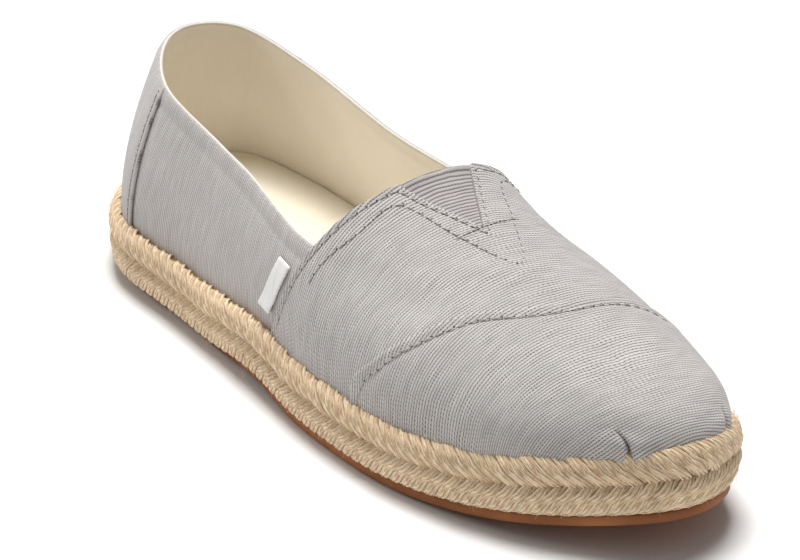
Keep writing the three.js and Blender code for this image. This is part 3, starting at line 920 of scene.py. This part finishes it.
half = np.stack([toeRows(start) for start in toeEdge(wSteps)], -1)
flatToe = settled(strip(half, w, toeSizes["lift"]))
fromSeam = nearest(flatToe, even(flatToe[0], edgePitch))
grow = hemmed(toeSizes, fromSeam) + creased(flatToe, toeCreases)
grow = grow + pleated(np.where(w <= 0, half, 1 - half), 1 - np.abs(w))
toeCloth = clothShell("toeCloth", settled(strip(half, w, grow)),
                      settled(strip(half, w, grow - toeSizes["thick"])),
                      topUv(flatToe), looks["vamp"], looks["lining"], ("start", "low", "high"))

# Throat gore: the elastic wedge in the notch
goreSizes = {
    "rows": 30, "columns": 70, "lift": 0.1, "thick": 1.2, "underVamp": 1.0, "least": 0.004, "hem": 0.4,
    "hemWidth": 2.5,
}
inside = rearEdge(wSteps, goreSizes["underVamp"]) - rearEdge(wSteps, notched=False) > goreSizes["least"]
goreW = np.linspace(wSteps[inside][0], wSteps[inside][-1], goreSizes["columns"])[None]
i0, i1 = rearEdge(goreW, notched=False), rearEdge(goreW, goreSizes["underVamp"])
half = i0 + (i1 - i0) * np.linspace(0, 1, goreSizes["rows"])[:, None]
flatGore = strip(half, goreW, goreSizes["lift"])
fromThroat = nearest(flatGore, even(strip(i0, goreW, goreSizes["lift"])[0], edgePitch))
grow = goreSizes["lift"] + goreSizes["hem"] * ease(1 - fromThroat / goreSizes["hemWidth"])
goreCloth = clothShell("goreCloth", strip(half, goreW, grow), strip(half, goreW, grow - goreSizes["thick"]),
                       topUv(flatGore), looks["gore"], looks["lining"])
print("front ready")

# Heel strip: its top end goes in under the piping
heelSizes = {
    "lift": 0.9, "thick": 0.85, "columns": 90, "rows": 40, "top": 0.93, "hem": 0.2, "hemWidth": 1.8,
    "seam": 0.2, "seamAt": 2.6, "seamWidth": 0.7, "sink": 0.7, "sinkShare": 0.08, "stitchColumn": 2,
    "rowsBelow": 1, "rowsAbove": 4, "stitchLift": 0.05,
}
levels = np.linspace(0, 1, heelSizes["rows"])
heights = feather(0) + (shoe["heelCollar"] * heelSizes["top"] - feather(0)) * levels
edgeAt = [along(heights, heelEdge) * length, heights]
startShare, endShare = sideShare(*edgeAt), sideShare(*edgeAt, inner=True) - 1
share = endShare + (startShare - endShare) * np.linspace(0, 1, heelSizes["columns"])[:, None]
climb = collarClimb(share % 1) * (1 - (1 - levels[None]) ** 1.2)
flatHeel = lastPoint(share % 1, climb, heelSizes["lift"])
fromSide = nearest(flatHeel, np.vstack([even(flatHeel[k], edgePitch) for k in (0, -1)]))
sink = heelSizes["sink"] * ease((levels[None] - 1) / heelSizes["sinkShare"] + 1)
grow = hemmed(heelSizes, fromSide) - sink
# Beside each edge, the way of its stitches on the cloth and just above it
heelRims = []
for k in (heelSizes["stitchColumn"], -1 - heelSizes["stitchColumn"]):
    paths = [lastPoint(share[k] % 1, climb[k], grow[k] + g) for g in (heelSizes["stitchLift"], 1)]
    heelRims.append([path[heelSizes["rowsBelow"]:-heelSizes["rowsAbove"]] for path in paths])
heelStrip = clothShell("heelStrip", lastPoint(share % 1, climb, grow),
                       lastPoint(share % 1, climb, grow - heelSizes["thick"]),
                       wallUv(flatHeel, share), looks["quarter"], looks["quarter"])

# Side tab: a folded loop of white tape, bare
tabSizes = {
    "x": 0.462 * length, "z": 24.5, "width": 6.0, "length": 16.5, "lean": 0.45, "thick": 0.6, "lift": 0.9,
    "fold": 0.5, "foldAt": 0.05, "foldWidth": 0.12, "slant": 0.1, "columns": 14, "rows": 26,
}
rise = tabSizes["length"] / math.hypot(1, tabSizes["lean"])
a = np.linspace(0, 1, tabSizes["columns"])[:, None]
b = np.linspace(0, 1, tabSizes["rows"])[None]
x = tabSizes["x"] + tabSizes["width"] * a + rise * tabSizes["lean"] * b
z = tabSizes["z"] - tabSizes["width"] * tabSizes["slant"] * a + rise * b
tabShare = sideShare(x, z)
lifted = tabSizes["lift"] + tabSizes["fold"] * bell(b - tabSizes["foldAt"], tabSizes["foldWidth"]) + 0 * a
tab = clothShell("tapeTab", wallAt(tabShare, z, lifted), wallAt(tabShare, z, lifted - tabSizes["thick"]),
                 np.stack([x, z], -1), looks["tab"], looks["tab"])

# Heel patch, bare, with a stitched border
patchSizes = {
    "width": 25.0, "height": 16.0, "top": shoe["heelCollar"] * 0.82, "lift": 2.0, "thick": 0.8,
    "rim": 1.6, "groove": 0.25, "grooveWidth": 0.5, "edgeDrop": 0.3, "edgeWidth": 0.8,
    "columns": 40, "rows": 28,
}


# The share round the foot of the heel's place seen from behind at y and z
def backShare(y, z):
    return -crossing(lambda s: wallAt(-s % 1, z)[..., 1] - y, y * 0 - 0.09, y * 0 + 0.09, 24) % 1


y = np.linspace(-0.5, 0.5, patchSizes["columns"])[:, None] * patchSizes["width"]
z = patchSizes["top"] + (np.linspace(0, 1, patchSizes["rows"])[None] - 1) * patchSizes["height"]
y, z = np.broadcast_arrays(y, z)
patchShare = backShare(y, z)
fromRim = np.minimum(patchSizes["width"] / 2 - np.abs(y), np.minimum(z - z.min(), z.max() - z))
groove = patchSizes["groove"] * bell(fromRim - patchSizes["rim"], patchSizes["grooveWidth"])
grow = patchSizes["lift"] - groove - patchSizes["edgeDrop"] * ease(1 - fromRim / patchSizes["edgeWidth"])
patch = clothShell("heelPatchCloth", wallAt(patchShare, z, grow),
                   wallAt(patchShare, z, patchSizes["lift"] - patchSizes["thick"]),
                   np.stack([y, z], -1), looks["patch"], looks["patch"])
print("heel and trim ready")

# Stitches: light threads that dip into holes, shown as small discs coloured dark: painted shade in the holes
stitchSizes = {
    "pitch": 3.0, "gap": 0.6, "arch": 0.34, "dip": 0.12, "thread": 0.19, "endShare": 0.55, "steps": 9,
    "sides": 8, "hole": 0.3, "holeShape": 0.8, "holeLow": 0.05, "holeDeep": 0.07, "holeSides": 10,
    "shake": 0.05,
}
arc = np.linspace(0, 1, stitchSizes["steps"])
swell = np.sin(arc * math.pi)
threadPath = np.stack([(arc - 0.5) * (stitchSizes["pitch"] - stitchSizes["gap"]), arc * 0,
                       stitchSizes["arch"] * swell - stitchSizes["dip"]], -1)
threadWidths = stitchSizes["thread"] * (stitchSizes["endShare"] + (1 - stitchSizes["endShare"]) * swell)
threadRing = tubePoints(threadPath, threadWidths, stitchSizes["sides"])
# The hole: a thin disc at the stitch's end, tagged so that it is coloured dark as painted shade in the
# needle hole
rounds = stitchSizes["holeSides"]
turn = np.arange(rounds) / rounds * full
hole = np.stack([stitchSizes["pitch"] / 2 + stitchSizes["hole"] * np.cos(turn),
                 stitchSizes["hole"] * stitchSizes["holeShape"] * np.sin(turn),
                 turn * 0 + stitchSizes["holeLow"]], -1)
ringStart = len(threadRing)
holeFaces = [[ringStart + k for k in range(rounds)][::-1], [ringStart + rounds + k for k in range(rounds)]]
for k in range(rounds):
    low, high = ringStart + k, ringStart + (k + 1) % rounds
    holeFaces.append([low, high, high + rounds, low + rounds])
stitchPoints = np.vstack([threadRing, hole, hole + (0, 0, stitchSizes["holeDeep"])])
stitch = seedling("stitch", stitchPoints, tubeFaces(len(arc), stitchSizes["sides"]) + holeFaces,
                  np.zeros((len(stitchPoints), 2)), {"dark": [0] * ringStart + [1] * 2 * rounds})


# Stitches along a path on the last, with the ways out of it taken from a path grown a little more
def stitchRow(name, path, raised, seed):
    both = even(np.hstack([path, raised]), stitchSizes["pitch"])
    low, high = both[:, :3], both[:, 3:]
    return scatter(name, low, np.gradient(low, axis=0), high - low, (1, 1, 1), stitch, looks["thread"],
                   stitchSizes["shake"], seed)


# The same two paths through corners seen from above
def onTop(corners, grow):
    path = curved(corners, 1.5)
    return topAt(path[:, 0], path[:, 1], grow), topAt(path[:, 0], path[:, 1], grow + 1)


# How far down each side the rows reach, and how far ahead of their edges and above the last they lie
rowSizes = {
    "reach": 0.93, "vampAhead": 1.6, "vampLift": 1.0, "toeLift": 1.4, "crossLift": 1.15, "patchSink": 0.2,
}
# Corners seen from above, in mm
throatCross = [
    (139.7, -34), (144, -24), (145, -11.5), (162.8, -4.7), (178.8, 2.9), (161, 12), (144, 19), (141, 26),
    (137, 32),
]
throatBar = [(162.8, -4.7), (162, 2.3), (161, 12)]
lineW = np.linspace(-rowSizes["reach"], rowSizes["reach"], 500)


def edgeStitches(name, lineHalf, above, seed):
    return stitchRow(name, strip(lineHalf, lineW, above), strip(lineHalf, lineW, above + 1), seed)


vampStitches = edgeStitches("vampStitches", rearEdge(lineW, rowSizes["vampAhead"]), rowSizes["vampLift"], 21)
crossStitches = stitchRow("crossStitches", *onTop(throatCross, rowSizes["crossLift"]), 22)
barStitches = stitchRow("barStitches", *onTop(throatBar, rowSizes["crossLift"]), 23)
toeStitches = edgeStitches("toeStitches", toeEdge(lineW, toeSizes["seamAt"]), rowSizes["toeLift"], 24)
heelRows = [stitchRow("heelStitches%d" % k, *paths, 25 + k) for k, paths in enumerate(heelRims)]
border = np.array([(-1, -1, 0), (1, -1, 0), (1, 1, 0), (-1, 1, 0), (-1, -1, 0)]) / 2
border = even(border * (patchSizes["width"] - 2 * patchSizes["rim"],
                        patchSizes["height"] - 2 * patchSizes["rim"], 0), 1.0)
borderZ = border[:, 1] + patchSizes["top"] - patchSizes["height"] / 2
borderShare = backShare(border[:, 0], borderZ)
low, high = (wallAt(borderShare, borderZ, patchSizes["lift"] + g) for g in (-rowSizes["patchSink"], 1))
patchStitches = stitchRow("patchStitches", low, high, 27)
for spare in (upperBundle, lowerBundle, fibre, stitch):
    bpy.data.objects.remove(spare)
print("stitches ready")

# Each piece: the node that it stands for and its slot
jobs = [
    (outsole, "outsole", "sole_rubber"), (core, "jute_midsole", "jute"),
    (plaitUpper, "jute_midsole", "jute"), (plaitLower, "jute_midsole", "jute"),
    (strayFibres, "", "jute"), (insolePad, "insole", "insole_cloth"),
    (quarters, "upper", "quarter_canvas"), (piping, "", "quarter_canvas"),
    (vampCloth, "vamp", "vamp_canvas"), (toeCloth, "toe_panel", "vamp_canvas"),
    (goreCloth, "throat_gore", "gore_elastic"), (heelStrip, "heel_panel", "quarter_canvas"),
    (tab, "side_tab", "tab_tape"), (patch, "heel_patch", "patch_cloth"),
    (vampStitches, "", "vamp_canvas"), (crossStitches, "", "vamp_canvas"),
    (barStitches, "", "vamp_canvas"), (toeStitches, "", "vamp_canvas"),
    (heelRows[0], "", "quarter_canvas"), (heelRows[1], "", "quarter_canvas"),
    (patchStitches, "", "patch_cloth"),
]
for piece, node, slot in jobs:
    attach(piece, "root")
    if node:
        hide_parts(node)

# Floor, light and camera: the eye and the floor in mm like the shoe, the rest in metres round the origin
studio = {
    "world": 0.2, "key": 98.0, "keyAt": (-0.5, 0.3, 2.8), "keySize": 1.3, "fill": 6.0,
    "fillAt": (-1.3, -1.0, 0.8), "fillSize": 0.8, "eye": (885.7, -462.0, 433.7), "aim": (0.0, 0.0, 0.026),
    "lens": 167.0, "lit": (0.0, 0.0, 0.03), "floor": 3000.0,
}
bpy.context.scene.view_settings.view_transform = "Standard"
corners = np.array([(-1, -1, 0), (1, -1, 0), (1, 1, 0), (-1, 1, 0)]) * studio["floor"]
floor = toMesh("floor", corners - toRow, [(0, 1, 2, 3)], None, (looks["floor"],))
world = bpy.data.worlds.new("studio")
bpy.context.scene.world = world
world.use_nodes = True
world.node_tree.nodes["Background"].inputs[0].default_value = (1, 1, 1, 1)
world.node_tree.nodes["Background"].inputs[1].default_value = studio["world"]


def softbox(name, at, size, power):
    light = bpy.data.lights.new(name, "AREA")
    light.size, light.energy = size, power
    lamp = bpy.data.objects.new(name, light)
    lamp.location = at
    lamp.rotation_euler = (Vector(studio["lit"]) - Vector(at)).to_track_quat("-Z", "Y").to_euler()
    bpy.context.scene.collection.objects.link(lamp)


softbox("key", studio["keyAt"], studio["keySize"], studio["key"])
softbox("fill", studio["fillAt"], studio["fillSize"], studio["fill"])
camera = bpy.data.objects.new("camera", bpy.data.cameras.new("camera"))
camera.location = (np.array(studio["eye"]) + toRow) * mm
camera.rotation_euler = (Vector(studio["aim"]) - camera.location).to_track_quat("-Z", "Y").to_euler()
camera.data.lens = studio["lens"]
bpy.context.scene.collection.objects.link(camera)
bpy.context.scene.camera = camera
